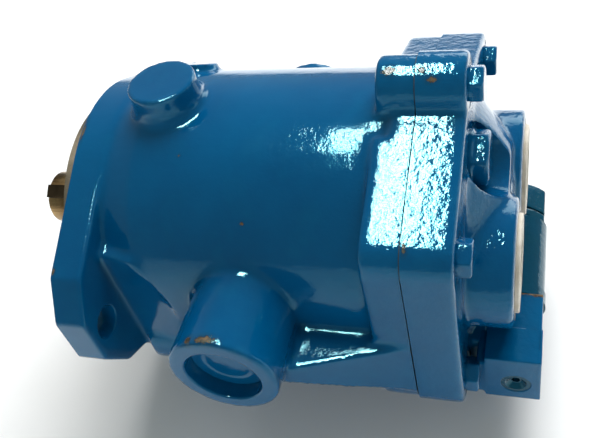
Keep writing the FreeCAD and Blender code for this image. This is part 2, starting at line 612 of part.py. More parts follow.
comp_at = ("comp_x", 0, "comp_z")
comp_out = "comp_x + comp_tube_r"
keep("compensator_body", cut(
    fuse(
        box(f"{comp_out} - 169", "17", "28", (169, "comp_near", -55)),
        box(f"{comp_out} - comp_pad_x - 0.3", "25", "21", ("comp_pad_x", "comp_near + 15", -54.5)),
        box("8", "48", "22", ("comp_pad_x", "comp_near + 15", -55))),
    along_valve("spool_r + 0.03", "comp_near - 1", "-10"),
    along_valve("6.02", "comp_near - 1", "comp_near + 7"),
    along_valve("spring_room_r + 1.02", "-24", "0"),
    along_valve("comp_tube_r + 0.7", "-16", "30")))
keep("compensator_plug", cut(
    along_valve("6", "comp_near + 0.4", "comp_near + 6.9"),
    cone("4.4", "2.2", "1.8", ("comp_x", "comp_near + 0.39", "comp_z"), "Y"),
    hexagon("3.2", "4", ("comp_x", "comp_near + 0.4", "comp_z"), "Y")))
spool_steps = [("spool_r", -48, -41), ("2.2", -42, -34), ("spool_r", -35, -29), ("2.2", -30, -23),
               ("spool_r", -29.5, -24)]
keep("compensator_spool", fuse(*[along_valve(radius, start, end) for radius, start, end in spool_steps]))
keep("spring_seat_front", turned(
    [(-22.9, 0), (-22.9, "7"), (-20.6, "7"), (-20.6, "3.6"), (-18, "3.6"), (-18, 0)], comp_at, "Y"))
spring_at = (DIMENSIONS["comp_x"], 0, DIMENSIONS["comp_z"])
keep("compensator_spring", coil(5.4, 0.9, 7, -20.4, 16.0, spring_at, "Y"))
keep("spring_seat_rear", turned([(16.2, 0), (16.2, "7"), (18.4, "7"), (18.4, 0)], comp_at, "Y"))
keep("spring_tube", turned([
    (-23.8, "spring_room_r"), (-23.8, "spring_room_r + 1"), (-16, "spring_room_r + 1"),
    (-16, "comp_tube_r + 0.6"), (-9.5, "comp_tube_r + 0.6"), (-9.5, "comp_tube_r"),
    (31.4, "comp_tube_r"), (32, "comp_tube_r - 0.6"), (32, "5.06"), (27, "5.06"),
    (27, "spring_room_r")], comp_at, "Y"))
keep("adjuster_locknut", cut(
    hexagon("cap_flats", "5", ("comp_x", "32.1", "comp_z"), "Y"), along_valve("5.06", 30, 40)))
keep("adjusting_screw", fuse(
    along_valve("5", 18.5, 46), hexagon("cap_flats", "16", ("comp_x", "37.5", "comp_z"), "Y")))

doc.recompute()

for thing in doc.Objects:
    broken = [state for state in thing.State if state in ("Invalid", "Error")]
    if broken:
        raise RuntimeError(f"{thing.Name} {thing.Label} did not build: {thing.State}")

os.makedirs("parts", exist_ok=True)
for thing in parts:
    shape = thing.Shape
    if shape.isNull() or not shape.isValid() or not shape.Solids:
        raise RuntimeError(f"{thing.Label} has no valid solid")
    shape.exportStep(f"parts/{thing.Label}.step")
    print(thing.Label, len(shape.Solids), round(shape.Volume))
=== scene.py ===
import json
import math

import bmesh
import bpy
import numpy as np
from mathutils import Matrix, Vector


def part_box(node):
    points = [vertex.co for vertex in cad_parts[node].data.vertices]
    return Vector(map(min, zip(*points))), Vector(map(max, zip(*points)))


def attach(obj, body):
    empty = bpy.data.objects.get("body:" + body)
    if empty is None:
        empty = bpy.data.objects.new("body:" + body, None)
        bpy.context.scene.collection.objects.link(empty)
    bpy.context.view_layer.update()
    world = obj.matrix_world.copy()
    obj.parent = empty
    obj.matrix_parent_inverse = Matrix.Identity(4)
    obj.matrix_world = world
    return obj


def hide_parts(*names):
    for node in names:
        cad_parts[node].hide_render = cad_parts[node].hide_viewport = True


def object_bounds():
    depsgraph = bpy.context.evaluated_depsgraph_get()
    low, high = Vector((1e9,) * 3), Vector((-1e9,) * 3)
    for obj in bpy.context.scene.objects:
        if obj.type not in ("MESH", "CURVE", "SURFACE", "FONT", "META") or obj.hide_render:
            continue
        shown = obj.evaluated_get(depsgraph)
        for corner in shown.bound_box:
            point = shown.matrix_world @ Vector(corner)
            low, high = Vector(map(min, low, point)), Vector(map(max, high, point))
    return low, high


# Axial piston pump in glossy blue enamel. X runs along the shaft, +Z is up. Helper sizes are in millimetres.

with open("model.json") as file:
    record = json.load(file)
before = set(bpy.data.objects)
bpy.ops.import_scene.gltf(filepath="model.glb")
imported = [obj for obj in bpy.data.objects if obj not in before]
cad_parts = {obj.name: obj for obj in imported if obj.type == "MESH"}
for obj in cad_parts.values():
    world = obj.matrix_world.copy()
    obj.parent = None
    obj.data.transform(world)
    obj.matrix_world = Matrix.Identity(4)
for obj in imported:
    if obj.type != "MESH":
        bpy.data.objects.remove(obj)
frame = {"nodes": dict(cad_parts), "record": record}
cad_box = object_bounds()
NODES = frame["nodes"]
MM = 0.001
MOUNTS = {m["name"]: m for m in frame["record"]["mounts"]}


def low(node):
    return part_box(node)[0] / MM


def high(node):
    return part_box(node)[1] / MM


def middle(node):
    return (low(node) + high(node)) / 2


# ---- places that the frame gives, in millimetres ----

SEAM = high("housing").x
COVER_START = low("valve_cover").x
PORTS = [Vector(MOUNTS[name]["pos_m"]) / MM for name in ("port_near", "port_far")]
PORT_R = MOUNTS["port_near"]["dims"]["r_mm"]
LAND_TOP = high("valve_cover").x
PORT_FACE = LAND_TOP - 1.6
PILOT_R = MOUNTS["pilot"]["dims"]["r_mm"]
PILOT_FRONT = low("housing").x
BOLT_SPACING = MOUNTS["mounting_flange"]["dims"]["spacing_x_mm"]
BOLT_HOLE_R = MOUNTS["mounting_flange"]["dims"]["hole_r_mm"]
DRAIN = Vector(MOUNTS["drain_port"]["pos_m"]) / MM
DRAIN_R = MOUNTS["drain_port"]["dims"]["r_mm"]
PINTLE_X = middle("pintle_plugs").x
PLUG_R = (high("pintle_plugs").x - low("pintle_plugs").x) / 2
NEAR_PLUG = low("pintle_plugs").y
FAR_PLUG = high("pintle_plugs").y
COMP = middle("compensator_plug")
COMP_SEAT = low("compensator_body").x
HEAD_END = high("cover_bolts").x
HEAD_HIGH = 5.6
SPOT_FACE = HEAD_END - HEAD_HIGH
LUG_CIRCLE = 68.2
LUG_ANGLES = (33, 90, 147, 213, 270, 327)
LUGS = [(LUG_CIRCLE * math.cos(math.radians(a)), LUG_CIRCLE * math.sin(math.radians(a))) for a in LUG_ANGLES]
PLUG = middle("cover_plug")


# ---- node materials ----

class Nodes:
    """Short names for building one material's node tree."""

    def __init__(self, name):
        self.material = bpy.data.materials.new(name)
        self.material.use_nodes = True
        self.tree = self.material.node_tree
        self.shader = self.tree.nodes["Principled BSDF"]
        self.place = self.node("ShaderNodeTexCoord").outputs["Object"]

    def node(self, kind, inputs=None, **settings):
        made = self.tree.nodes.new(kind)
        for name, value in settings.items():
            setattr(made, name, value)
        for key, value in (inputs or {}).items():
            self.put(made.inputs[key], value)
        return made

    def put(self, socket, value):
        if isinstance(value, bpy.types.NodeSocket):
            self.tree.links.new(value, socket)
        else:
            socket.default_value = value

    def noise(self, scale, detail=3.0, rough=0.55, at=None):
        made = self.node("ShaderNodeTexNoise", {"Scale": scale, "Detail": detail, "Roughness": rough})
        self.put(made.inputs["Vector"], at or self.place)
        return made.outputs["Fac"]

    def stretched(self, scale):
        made = self.node("ShaderNodeMapping", {"Vector": self.place, "Scale": scale})
        return made.outputs["Vector"]

    def math(self, operation, a, b=0.0, clamp=False):
        made = self.node("ShaderNodeMath", {0: a, 1: b}, operation=operation, use_clamp=clamp)
        return made.outputs[0]

    def band(self, value, start, end, low=0.0, high=1.0):
        made = self.node("ShaderNodeMapRange", {"Value": value, "From Min": start, "From Max": end,
                                                "To Min": low, "To Max": high})
        return made.outputs["Result"]

    def mix(self, share, a, b):
        made = self.node("ShaderNodeMix", {"Factor": share}, data_type="RGBA")
        self.put(made.inputs[6], a)
        self.put(made.inputs[7], b)
        return made.outputs[2]

    def mark(self, name):
        """A value kept on the mesh's points, such as how deep in a hollow or how near a rust spot each is."""
        return self.node("ShaderNodeAttribute", attribute_name=name).outputs["Fac"]

    def bump(self, height, distance, under=None, strength=1.0):
        made = self.node("ShaderNodeBump", {"Height": height, "Distance": distance, "Strength": strength})
        if under is not None:
            self.put(made.inputs["Normal"], under)
        return made.outputs["Normal"]

    def finish(self, **values):
        for name, value in values.items():
            self.put(self.shader.inputs[name.replace("_", " ")], value)
        return self.material


def rgb(red, green, blue):
    """A colour as seen on a screen, 0 to 255, as the shader wants it."""
    def linear(value):
        value /= 255
        return value / 12.92 if value <= 0.04045 else ((value + 0.055) / 1.055) ** 2.4
    return (linear(red), linear(green), linear(blue), 1.0)


def enamel(name, colour, deep, dull):
    """Thick glossy paint over a casting: orange peel, sags, painted shade in the corners, painted highlights
    on the edges, chips down to rust.
    """
    n = Nodes(name)
    cloud = n.noise(18, 4)
    base = n.mix(n.band(cloud, 0.35, 0.7), colour, deep)
    base = n.mix(n.band(n.noise(70, 5), 0.5, 0.8, 0, 0.35), base, dull)
    # painted shade: points in hollows and corners are darkened towards a near-black blue, broken by noise
    hollow = n.band(n.mark("hollow"), 0.15, 0.9)
    painted_shade = n.math("MULTIPLY", hollow, n.band(n.noise(45, 5), 0.3, 0.7, 0.1, 0.65))
    base = n.mix(painted_shade, base, rgb(0, 14, 26))
    # painted highlight: points on ridges and rounded edges are lightened towards a pale blue, broken by noise
    edge = n.math("MULTIPLY", n.mark("ridge"), n.band(n.noise(120, 4), 0.52, 0.68))
    base = n.mix(n.math("MULTIPLY", edge, 0.35, True), base, rgb(40, 110, 146))
    # a chip is where the spot's own value and a fine noise meet
    spot = n.math("ADD", n.mark("rust"), n.math("MULTIPLY", n.noise(420, 7, 0.75), 1.3))
    spot = n.math("SUBTRACT", spot, 1.22)
    bare = n.band(spot, 0.0, 0.05)
    rust = n.mix(n.band(n.noise(500, 5, 0.7), 0.35, 0.65), rgb(34, 24, 14), rgb(112, 76, 38))
    stain = n.math("MULTIPLY", n.band(n.mark("rust"), 0.1, 0.8), n.band(n.noise(140, 5), 0.3, 0.7, 0.25, 1.0))
    base = n.mix(n.math("MULTIPLY", stain, 0.8, True), base, rgb(34, 40, 22))
    base = n.mix(bare, base, rust)
    # the rear lugs and the cover carry the thickest paint, so the coarsest orange peel
    along_pump = n.node("ShaderNodeSeparateXYZ", {"Vector": n.place}).outputs["X"]
    thick = n.band(along_pump, 0.118, 0.136, 0.3, 1.0)
    peel = n.bump(n.noise(360, 3, 0.5), 0.0002, strength=thick)
    peel = n.bump(n.noise(1000, 2, 0.5), 0.00003, peel)
    peel = n.bump(n.math("MULTIPLY", bare, -1.0), 0.0002, peel)
    gloss = n.band(n.noise(60, 4), 0.3, 0.75, 0.04, 0.12)
    gloss = n.math("ADD", gloss, n.math("MULTIPLY", bare, 0.5))
    return n.finish(Base_Color=base, Roughness=gloss, Normal=peel, Specular_Tint=(0.12, 0.72, 0.8, 1),
                    Coat_Weight=0.25, Coat_Roughness=0.03, Coat_Normal=peel)


def metal(name, colour, stain, rough, along=(1.0, 1.0, 1.0), depth=0.00001):
    """Turned or ground steel: fine tool marks, an oil film and darker stains."""
    n = Nodes(name)
    lines = n.noise(900, 3, 0.6, n.stretched(along))
    film = n.noise(60, 4)
    base = n.mix(n.band(film, 0.4, 0.7), colour, stain)
    base = n.mix(n.band(lines, 0.45, 0.8, 0, 0.4), base, stain)
    gloss = n.band(lines, 0.3, 0.7, rough * 0.7, rough * 1.3)
    return n.finish(Base_Color=base, Metallic=1.0, Roughness=gloss, Normal=n.bump(lines, depth))


def dull(name, colour, other, rough, scale=300, depth=0.00005):
    """Rubber, gasket sheet or a bare cast face."""
    n = Nodes(name)
    base = n.mix(n.band(n.noise(scale, 5), 0.35, 0.7), colour, other)
    return n.finish(Base_Color=base, Roughness=rough, Normal=n.bump(n.noise(scale * 2, 4), depth))


BLUE = enamel("blue_enamel", rgb(0, 78, 122), rgb(0, 66, 109), rgb(2, 88, 126))
DARK_BLUE = enamel("dark_enamel", rgb(0, 58, 82), rgb(0, 46, 68), rgb(8, 62, 70))
BARE_IRON = metal("machined_iron", rgb(140, 130, 112), rgb(84, 74, 58), 0.38, (1, 1, 1), 0.00002)
SHAFT = metal("oiled_shaft_steel", rgb(176, 148, 104), rgb(84, 62, 38), 0.3, (0.05, 1, 1), 0.00003)
KEY = metal("key_steel", rgb(64, 54, 40), rgb(32, 26, 18), 0.42)
BEARING = metal("bearing_steel", rgb(204, 206, 210), rgb(160, 162, 168), 0.14)
BRONZE = metal("bronze", rgb(190, 142, 78), rgb(132, 92, 46), 0.3)
HARD_STEEL = metal("hardened_steel", rgb(164, 164, 168), rgb(112, 112, 118), 0.24)
SPRING = metal("spring_steel", rgb(78, 80, 88), rgb(44, 44, 50), 0.34)
YOKE = metal("yoke_iron", rgb(104, 104, 104), rgb(70, 70, 70), 0.5, (1, 1, 1), 0.00006)
GASKET = dull("gasket_sheet", rgb(20, 46, 58), rgb(12, 28, 36), 0.7)
RUBBER = dull("seal_rubber", rgb(30, 30, 32), rgb(18, 18, 20), 0.55, 200)
LAND = dull("port_land", rgb(206, 200, 188), rgb(178, 168, 150), 0.5, 140)
FLOOR = dull("pale_floor", rgb(238, 238, 238), rgb(232, 232, 232), 0.85, 6, 0.00001)


# ---- meshes ----

class Solid:
    """Closed shapes collected in one mesh, drawn in millimetres."""

    def __init__(self):
        self.mesh = bmesh.new()

    def turned(self, points, at, along="X", steps=96, finish=0):
        """Revolves (distance, radius) points about an axis through a place."""
        turn = {"X": Matrix.Identity(3), "Y": Matrix.Rotation(math.pi / 2, 3, "Z"),
                "-Y": Matrix.Rotation(-math.pi / 2, 3, "Z"), "Z": Matrix.Rotation(-math.pi / 2, 3, "Y"),
                "-Z": Matrix.Rotation(math.pi / 2, 3, "Y")}[along]
        rings = []
        for reach, radius in points:
            count = steps if radius > 1e-6 else 1
            ring = []
            for i in range(count):
                angle = i * math.tau / steps
                offset = turn @ Vector((reach, radius * math.cos(angle), radius * math.sin(angle)))
                ring.append(self.mesh.verts.new(Vector(at) + offset))
            rings.append(ring)
        closed = points[0][1] > 1e-6 and points[-1][1] > 1e-6
        pairs = list(zip(rings, rings[1:])) + ([(rings[-1], rings[0])] if closed else [])
        for one, two in pairs:
            for i in range(steps):
                j = (i + 1) % steps
                corners = [one[i % len(one)], one[j % len(one)], two[j % len(two)], two[i % len(two)]]
                corners = list(dict.fromkeys(corners))
                if len(corners) > 2:
                    self.mesh.faces.new(corners).material_index = finish
        return self

    def box(self, corner, other, finish=0):
        made = bmesh.ops.create_cube(self.mesh, size=1.0)["verts"]
        span = Vector(other) - Vector(corner)
        centre = (Vector(other) + Vector(corner)) / 2
        for v in made:
            v.co = centre + Vector(a * b for a, b in zip(v.co, span))
        for face in {f for v in made for f in v.link_faces}:
            face.material_index = finish
        return self

    def object(self, name, smooth=30):
        bmesh.ops.recalc_face_normals(self.mesh, faces=self.mesh.faces)
        bmesh.ops.scale(self.mesh, vec=(MM, MM, MM), verts=self.mesh.verts)
        mesh = bpy.data.meshes.new(name)
        self.mesh.to_mesh(mesh)
        self.mesh.free()
        made = bpy.data.objects.new(name, mesh)
        bpy.context.scene.collection.objects.link(made)
        round_off(mesh, smooth)
        return made


def round_off(mesh, degrees):
    """Smooth shading, with a crisp edge where two faces meet at more than an angle."""
    mesh.shade_smooth()
    mesh.set_sharp_from_angle(angle=math.radians(degrees))


def settle(thing):
    """Applies the object's modifiers to its mesh."""
    shown = thing.evaluated_get(bpy.context.evaluated_depsgraph_get())
    mesh = bpy.data.meshes.new_from_object(shown)
    thing.modifiers.clear()
    old = thing.data
    thing.data = mesh
    bpy.data.meshes.remove(old)


def points_of(mesh):
    co = np.empty(len(mesh.vertices) * 3)
    mesh.vertices.foreach_get("co", co)
    return co.reshape(-1, 3)


def put_points(mesh, co):
    mesh.vertices.foreach_set("co", co.astype(np.float32).ravel())
    mesh.update()


def edges_of(mesh):
    ends = np.empty(len(mesh.edges) * 2, np.int64)
    mesh.edges.foreach_get("vertices", ends)
    return ends.reshape(-1, 2)


def averaged(values, ends, passes):
    """Each point's value drawn towards its neighbours' mean, some number of times."""
    values = np.array(values, float)
    flat = values.reshape(len(values), -1)
    count = np.maximum(np.bincount(ends.ravel(), minlength=len(flat)), 1)
    for _ in range(passes):
        for k in range(flat.shape[1]):
            total = np.bincount(ends[:, 0], flat[ends[:, 1], k], len(flat))
            total += np.bincount(ends[:, 1], flat[ends[:, 0], k], len(flat))
            flat[:, k] += 0.6 * (total / count - flat[:, k])
    return flat.reshape(values.shape)


def normals_of(mesh):
    normal = np.empty(len(mesh.vertices) * 3)
    mesh.vertex_normals.foreach_get("vector", normal)
    return normal.reshape(-1, 3)


def soften(mesh, passes, roundness):
    """Fillets every inner corner, and rounds outer edges by a share that may differ from point to point."""
    ends = edges_of(mesh)
    co = averaged(points_of(mesh), ends, 2)
    put_points(mesh, co)
    normal = normals_of(mesh)
    share = np.broadcast_to(roundness(co / MM), len(co))
    for _ in range(passes):
        step = averaged(co, ends, 1) - co
        inward = (step * normal).sum(1) < 0
        co = co + step * np.where(inward, share, 1.0)[:, None]
    put_points(mesh, averaged(co, ends, 1))


def keep_mark(mesh, name, values):
    mark = mesh.attributes.new(name, "FLOAT", "POINT")
    mark.data.foreach_set("value", np.asarray(values, np.float32))


def mark_shading_and_rust(mesh, rust_spots):
    """Keeps on each point how far it lies on a ridge or in a hollow, which sets the painted highlights and
    painted shade, and how near it is to a rust spot.
    """
    co = points_of(mesh)
    ends = edges_of(mesh)
    normal = normals_of(mesh)
    raised = ((co - averaged(co, ends, 6)) * normal).sum(1) / MM
    raised = averaged(raised, ends, 4)
    keep_mark(mesh, "ridge", np.clip(raised / 0.25, 0, 1))
    keep_mark(mesh, "hollow", np.clip(-raised / 0.25, 0, 1))
    rust = np.zeros(len(co))
    for at, reach in rust_spots:
        near = 1 - np.linalg.norm((co / MM - np.array(at)) / np.array(reach), axis=1)
        rust = np.maximum(rust, np.clip(near, 0, 1))
    keep_mark(mesh, "rust", rust)


def casting(name, node, grain, passes, roundness, stretch=(), fill=None, cutter=None, lumps=0.12, rust=()):
    """A cast and painted copy of a CAD node: every edge and corner rounded, then its machined faces cut."""
    mesh = NODES[node].data.copy()
    co = points_of(mesh)
    for axis, plane, shift in stretch:
        co[abs(co[:, axis] / MM - plane) < 0.02, axis] += shift * MM
    put_points(mesh, co)
    thing = bpy.data.objects.new(name, mesh)
    bpy.context.scene.collection.objects.link(thing)
    if fill is not None:
        whole = bmesh.new()
        whole.from_mesh(mesh)
        extra = fill.object(name + "_fill")
        whole.from_mesh(extra.data)
        whole.to_mesh(mesh)
        whole.free()
        bpy.data.objects.remove(extra)
    shaper = thing.modifiers.new("shape", "REMESH")
    shaper.mode = "VOXEL"
    shaper.voxel_size = grain * MM
    settle(thing)
    mesh = thing.data
    mesh.materials.clear()
    mesh.materials.append(BLUE)
    mesh.materials.append(BARE_IRON)
    mesh.materials.append(RUBBER)
    soften(mesh, passes, roundness)
    if lumps:
        sag = bpy.data.textures.new(name + "_lumps", "CLOUDS")
        sag.noise_scale = 0.009
        sag.noise_depth = 2
        uneven = thing.modifiers.new("uneven", "DISPLACE")
        uneven.texture = sag
        uneven.texture_coords = "LOCAL"
        uneven.strength = lumps * MM
        uneven.mid_level = 1.0
        settle(thing)
    mark_shading_and_rust(thing.data, rust)
    if cutter is not None:
        tool = cutter.object(name + "_cutter")
        for material in (BLUE, BARE_IRON, RUBBER):
            tool.data.materials.append(material)
        saw = thing.modifiers.new("saw", "BOOLEAN")
        saw.operation = "DIFFERENCE"
        saw.solver = "EXACT"
        saw.use_self = True
        saw.object = tool
        settle(thing)
        bpy.data.objects.remove(tool)
    round_off(thing.data, 40)
    return thing


def place_piece(thing, body, slot, *nodes):
    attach(thing, body)
    if nodes:
        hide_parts(*nodes)
    return thing


# ---- housing ----

def lug_roundness(co):
    """The bolt lugs are rounder than the rest of the casting."""
    return 0.1 + 0.75 * np.clip((co[:, 0] - (SEAM - 24)) / 8, 0, 1)


def even_roundness(share):
    return lambda co: share


def threaded(start, end, radius, pitch=1.6, deep=0.8):
    """A threaded hole's (distance, radius) points, from its bottom to past its chamfered mouth."""
    points = [(start, 0), (start, radius)]
    turns = int((end - start - 2) / pitch)
    for i in range(turns):
        ridge = start + 1 + i * pitch
        points += [(ridge, radius), (ridge + pitch / 2, radius + deep)]
    return points + [(end - 1.2, radius), (end + 0.4, radius + 1.6), (end + 9, radius + 1.6), (end + 9, 0)]


def recess(radius, start, mouth, lip):
    """A round recess with a painted, rounded lip."""
    curve = []
    for angle in np.linspace(0, math.pi / 2, 6):
        curve.append((mouth - lip + lip * math.sin(angle), radius + lip * (1 - math.cos(angle))))
    return [(start, 0), (start, radius)] + curve + [(mouth + 9, radius + lip), (mouth + 9, 0)]


FLANGE_THICK = 14.1
BOSS_FACE = -low("housing").y
FAR_BOSS_FACE = FAR_PLUG + 0.8
SEAL_BORE_R = 14.7
BLANK_DRAIN = Vector((37.7, -1.5, 0))
BLANK_TOP = 72
DRAIN_MOUTH = 68.6
# each rust spot is a place and how far it reaches along X, Y and Z
HOUSING_RUST = [
    ((134, -5, 78), (6, 4, 4)), ((51, -65, 14.5), (7, 5, 3.5)), ((73, -91, 22), (9, 4, 3.5)),
    ((66, -91, 20), (5, 4, 3)), ((0.5, -17, 58), (2, 16, 5)), ((0.5, -71, 30), (2, 3, 3)),
    ((79, -48, 39), (2, 2, 2)), ((50, -28, 56), (1.5, 1.5, 1.5)),
]


def housing():
    fill = Solid()
    cut = Solid()
    cut.turned([(-20, PILOT_R - 0.15), (-20, 130), (0, 130), (0, PILOT_R - 0.15)], (0, 0, 0), finish=1)
    cut.box((-30, -70, -70), (PILOT_FRONT, 70, 70), finish=1)
    cut.box((SEAM, -120, -120), (SEAM + 12, 120, 120), finish=1)
    cut.turned([(PILOT_FRONT - 5, 0), (PILOT_FRONT - 5, SEAL_BORE_R + 1), (PILOT_FRONT, SEAL_BORE_R + 1),
                (PILOT_FRONT + 1, SEAL_BORE_R), (2.6, SEAL_BORE_R), (2.6, 0)], (0, 0, 0), finish=1)
    for side in (1, -1):
        ear = (0, side * BOLT_SPACING / 2, 0)
        fill.turned([(-4, 0), (-4, 9.5), (FLANGE_THICK - 0.2, 9.5), (FLANGE_THICK - 0.2, 0)], ear)
        cut.turned(recess(BOLT_HOLE_R, -1, FLANGE_THICK, 0.9), ear)
    pintle = (PINTLE_X, 0, 0)
    for along, plug, face in (("-Y", -NEAR_PLUG, BOSS_FACE), ("Y", FAR_PLUG, FAR_BOSS_FACE)):
        fill.turned([(plug - 6, 0), (plug - 6, 18), (face - 0.1, 18), (face - 0.1, 0)], pintle, along)
        cut.turned(recess(PLUG_R, plug - 3.5, face, min(1.1, face - plug)), pintle, along)
    fill.turned([(58, 0), (58, 17), (BLANK_TOP - 6, 14.6), (BLANK_TOP + 1.1, 14.6), (BLANK_TOP + 1.1, 0)],
                (BLANK_DRAIN.x, BLANK_DRAIN.y, 0), "Z")
    bottom = DRAIN_MOUTH - 12
    end = DRAIN_MOUTH - 0.1
    fill.turned([(bottom, 0), (bottom, DRAIN_R + 2), (end, DRAIN_R + 2), (end, 0)], (DRAIN.x, 0, 0), "-Z")
    cut.turned(threaded(bottom, DRAIN_MOUTH, DRAIN_R), (DRAIN.x, 0, 0), "-Z", finish=1)
    made = casting("housing_casting", "housing", 0.9, 14, lug_roundness,
                   [(0, 0.0, -4.0), (0, PILOT_FRONT, -4.0), (0, SEAM, 4.0)], fill, cut, rust=HOUSING_RUST)
    return place_piece(made, "case", "blue_enamel", "housing")


# ---- valve cover and its port lands ----

LAND_R = 20
PORT_DEEP = MOUNTS["port_near"]["dims"]["length_mm"]
PLUG_SEAT = SPOT_FACE + 0.1
COVER_RUST = [
    ((145, -63, 47), (2.5, 5, 5)), ((146, -6, 79), (3, 4, 3)), ((150, -8, 76), (5, 3, 3)),
]


def valve_cover():
    fill = Solid()
    cut = Solid()
    cut.box((COVER_START - 20, -120, -120), (COVER_START, 120, 120), finish=1)
    cut.box((PORT_FACE, -120, -120), (PORT_FACE + 20, 120, 120), finish=1)
    for port in PORTS:
        at = (0, port.y, port.z)
        fill.turned([(LAND_TOP - PORT_DEEP - 1, 0), (LAND_TOP - PORT_DEEP - 1, PORT_R + 2),
                     (LAND_TOP - 0.1, PORT_R + 2), (LAND_TOP - 0.1, 0)], at)
        cut.turned(threaded(LAND_TOP - PORT_DEEP, LAND_TOP, PORT_R + 0.1), at, finish=1)
    for y, z in LUGS:
        cut.turned([(SPOT_FACE, 0), (SPOT_FACE, 9.2), (SPOT_FACE + 30, 9.2), (SPOT_FACE + 30, 0)], (0, y, z))
    cut.turned([(PLUG_SEAT, 0), (PLUG_SEAT, 13.4), (PLUG_SEAT + 1, 14.4), (PLUG_SEAT + 30, 16),
                (PLUG_SEAT + 30, 0)], (0, PLUG.y, PLUG.z))
    cut.box((COMP_SEAT - 0.1, -59, -80), (COMP_SEAT + 30, 19, -32.4), finish=1)
    made = casting("valve_cover_casting", "valve_cover", 0.8, 14, even_roundness(0.7),
                   [(0, COVER_START, -4.0), (0, COMP_SEAT - 0.1, 3.0)], fill, cut, rust=COVER_RUST)
    return place_piece(made, "case", "blue_enamel", "valve_cover")


def port_lands():
    lands = Solid()
    for port in PORTS:
        lands.turned([(PORT_FACE - 1.5, PORT_R + 0.9), (PORT_FACE - 1.5, LAND_R), (LAND_TOP - 0.3, LAND_R),
                      (LAND_TOP, LAND_R - 0.3), (LAND_TOP, PORT_R + 1.4), (LAND_TOP - 0.5, PORT_R + 0.9)],
                     (0, port.y, port.z))
    made = lands.object("port_lands")
    made.data.materials.append(LAND)
    return place_piece(made, "case", "blue_enamel")


# ---- painted hardware ----

def hex_points(solid, at, along, flats, thick, start=0.0, crown=0.47, steps=72):
    """A hex head or nut: flat sides, and a round chamfer that cuts its outer corners."""
    turn = {"X": Matrix.Identity(3), "Y": Matrix.Rotation(math.pi / 2, 3, "Z")}[along]
    half = flats / 2
    rings = [[], [], []]
    for i in range(steps):
        angle = (i + 0.5) * math.tau / steps
        reach = half / math.cos((angle + math.pi / 6) % (math.pi / 3) - math.pi / 6)
        drop = max(0.0, reach - flats * crown) * math.tan(math.radians(30))
        corners = ((start, reach), (start + thick - drop, reach), (start + thick, flats * crown))
        for ring, (x, r) in zip(rings, corners):
            offset = turn @ Vector((x, r * math.cos(angle), r * math.sin(angle)))
            ring.append(solid.mesh.verts.new(Vector(at) + offset))
    for one, two in zip(rings, rings[1:]):
        for i in range(steps):
            j = (i + 1) % steps
            solid.mesh.faces.new((one[i], one[j], two[j], two[i]))
    solid.mesh.faces.new(rings[0])
    solid.mesh.faces.new(rings[2])
    return solid


def painted(name, solid, finish, grain=0.4, passes=3, lumps=0.05, rust=()):
    """Machined shapes under thick paint, which rounds their edges and fills their corners."""
    thing = solid.object(name)
    shaper = thing.modifiers.new("shape", "REMESH")
    shaper.mode = "VOXEL"
    shaper.voxel_size = grain * MM
    settle(thing)
    put_points(thing.data, averaged(points_of(thing.data), edges_of(thing.data), passes))
    sag = bpy.data.textures.new(name + "_lumps", "CLOUDS")
    sag.noise_scale = 0.004
    uneven = thing.modifiers.new("uneven", "DISPLACE")
    uneven.texture = sag
    uneven.texture_coords = "LOCAL"
    uneven.strength = lumps * MM
    uneven.mid_level = 1.0
    settle(thing)
    thing.data.materials.clear()
    thing.data.materials.append(finish)
    mark_shading_and_rust(thing.data, rust)
    round_off(thing.data, 60)
    return thing


def cover_bolts():
    heads = Solid()
    for y, z in LUGS:
        heads.turned([(SPOT_FACE - 1, 0), (SPOT_FACE - 1, 6.6), (SPOT_FACE + 0.7, 6.6), (SPOT_FACE + 0.7, 0)],
                     (0, y, z))
        hex_points(heads, (SPOT_FACE + 0.3, y, z), "X", 12.7, HEAD_HIGH - 0.3)
    made = painted("cover_bolt_heads", heads, BLUE)
    return place_piece(made, "case", "blue_enamel", "cover_bolts")


def cover_plug():
    plug = Solid()
    at = (0, PLUG.y, PLUG.z)
    top = high("cover_plug").x
    plug.turned([(PLUG_SEAT - 2, 0), (PLUG_SEAT - 2, 10.5), (PLUG_SEAT, 11.2), (PLUG_SEAT + 1.4, 11.2),
                 (PLUG_SEAT + 1.4, 0)], at)
    hex_points(plug, (PLUG_SEAT + 1, PLUG.y, PLUG.z), "X", 20, top - PLUG_SEAT - 1)
    made = painted("cover_hex_plug", plug, BLUE)
    return place_piece(made, "case", "blue_enamel", "cover_plug")


def pintle_plugs():
    plugs = Solid()
    for along, out in (("-Y", -NEAR_PLUG), ("Y", FAR_PLUG)):
        plugs.turned([(out - 3, 0), (out - 3, PLUG_R + 0.2), (out, PLUG_R + 0.2), (out, 10.5),
                      (out - 0.4, 10), (out - 0.4, 0)], (PINTLE_X, 0, 0), along)
    made = painted("pintle_end_plugs", plugs, BLUE, 0.5, 2, 0.12)
    return place_piece(made, "case", "blue_enamel", "pintle_plugs")


def adjuster():
    """The locknut and the adjusting cap on the end of the compensator's spring tube."""
    nut = Solid()
    start = low("adjuster_locknut").y
    hex_points(nut, (COMP.x, start, COMP.z), "Y", 17.2, high("adjuster_locknut").y - start)
    place_piece(painted("adjuster_nut", nut, DARK_BLUE), "case", "dark_enamel", "adjuster_locknut")
    cap = Solid()
    start = high("adjuster_locknut").y + 0.5
    hex_points(cap, (COMP.x, start, COMP.z), "Y", 17.2, high("adjusting_screw").y - start)
    place_piece(painted("adjuster_cap", cap, DARK_BLUE), "adjusting_screw", "dark_enamel", "adjusting_screw")


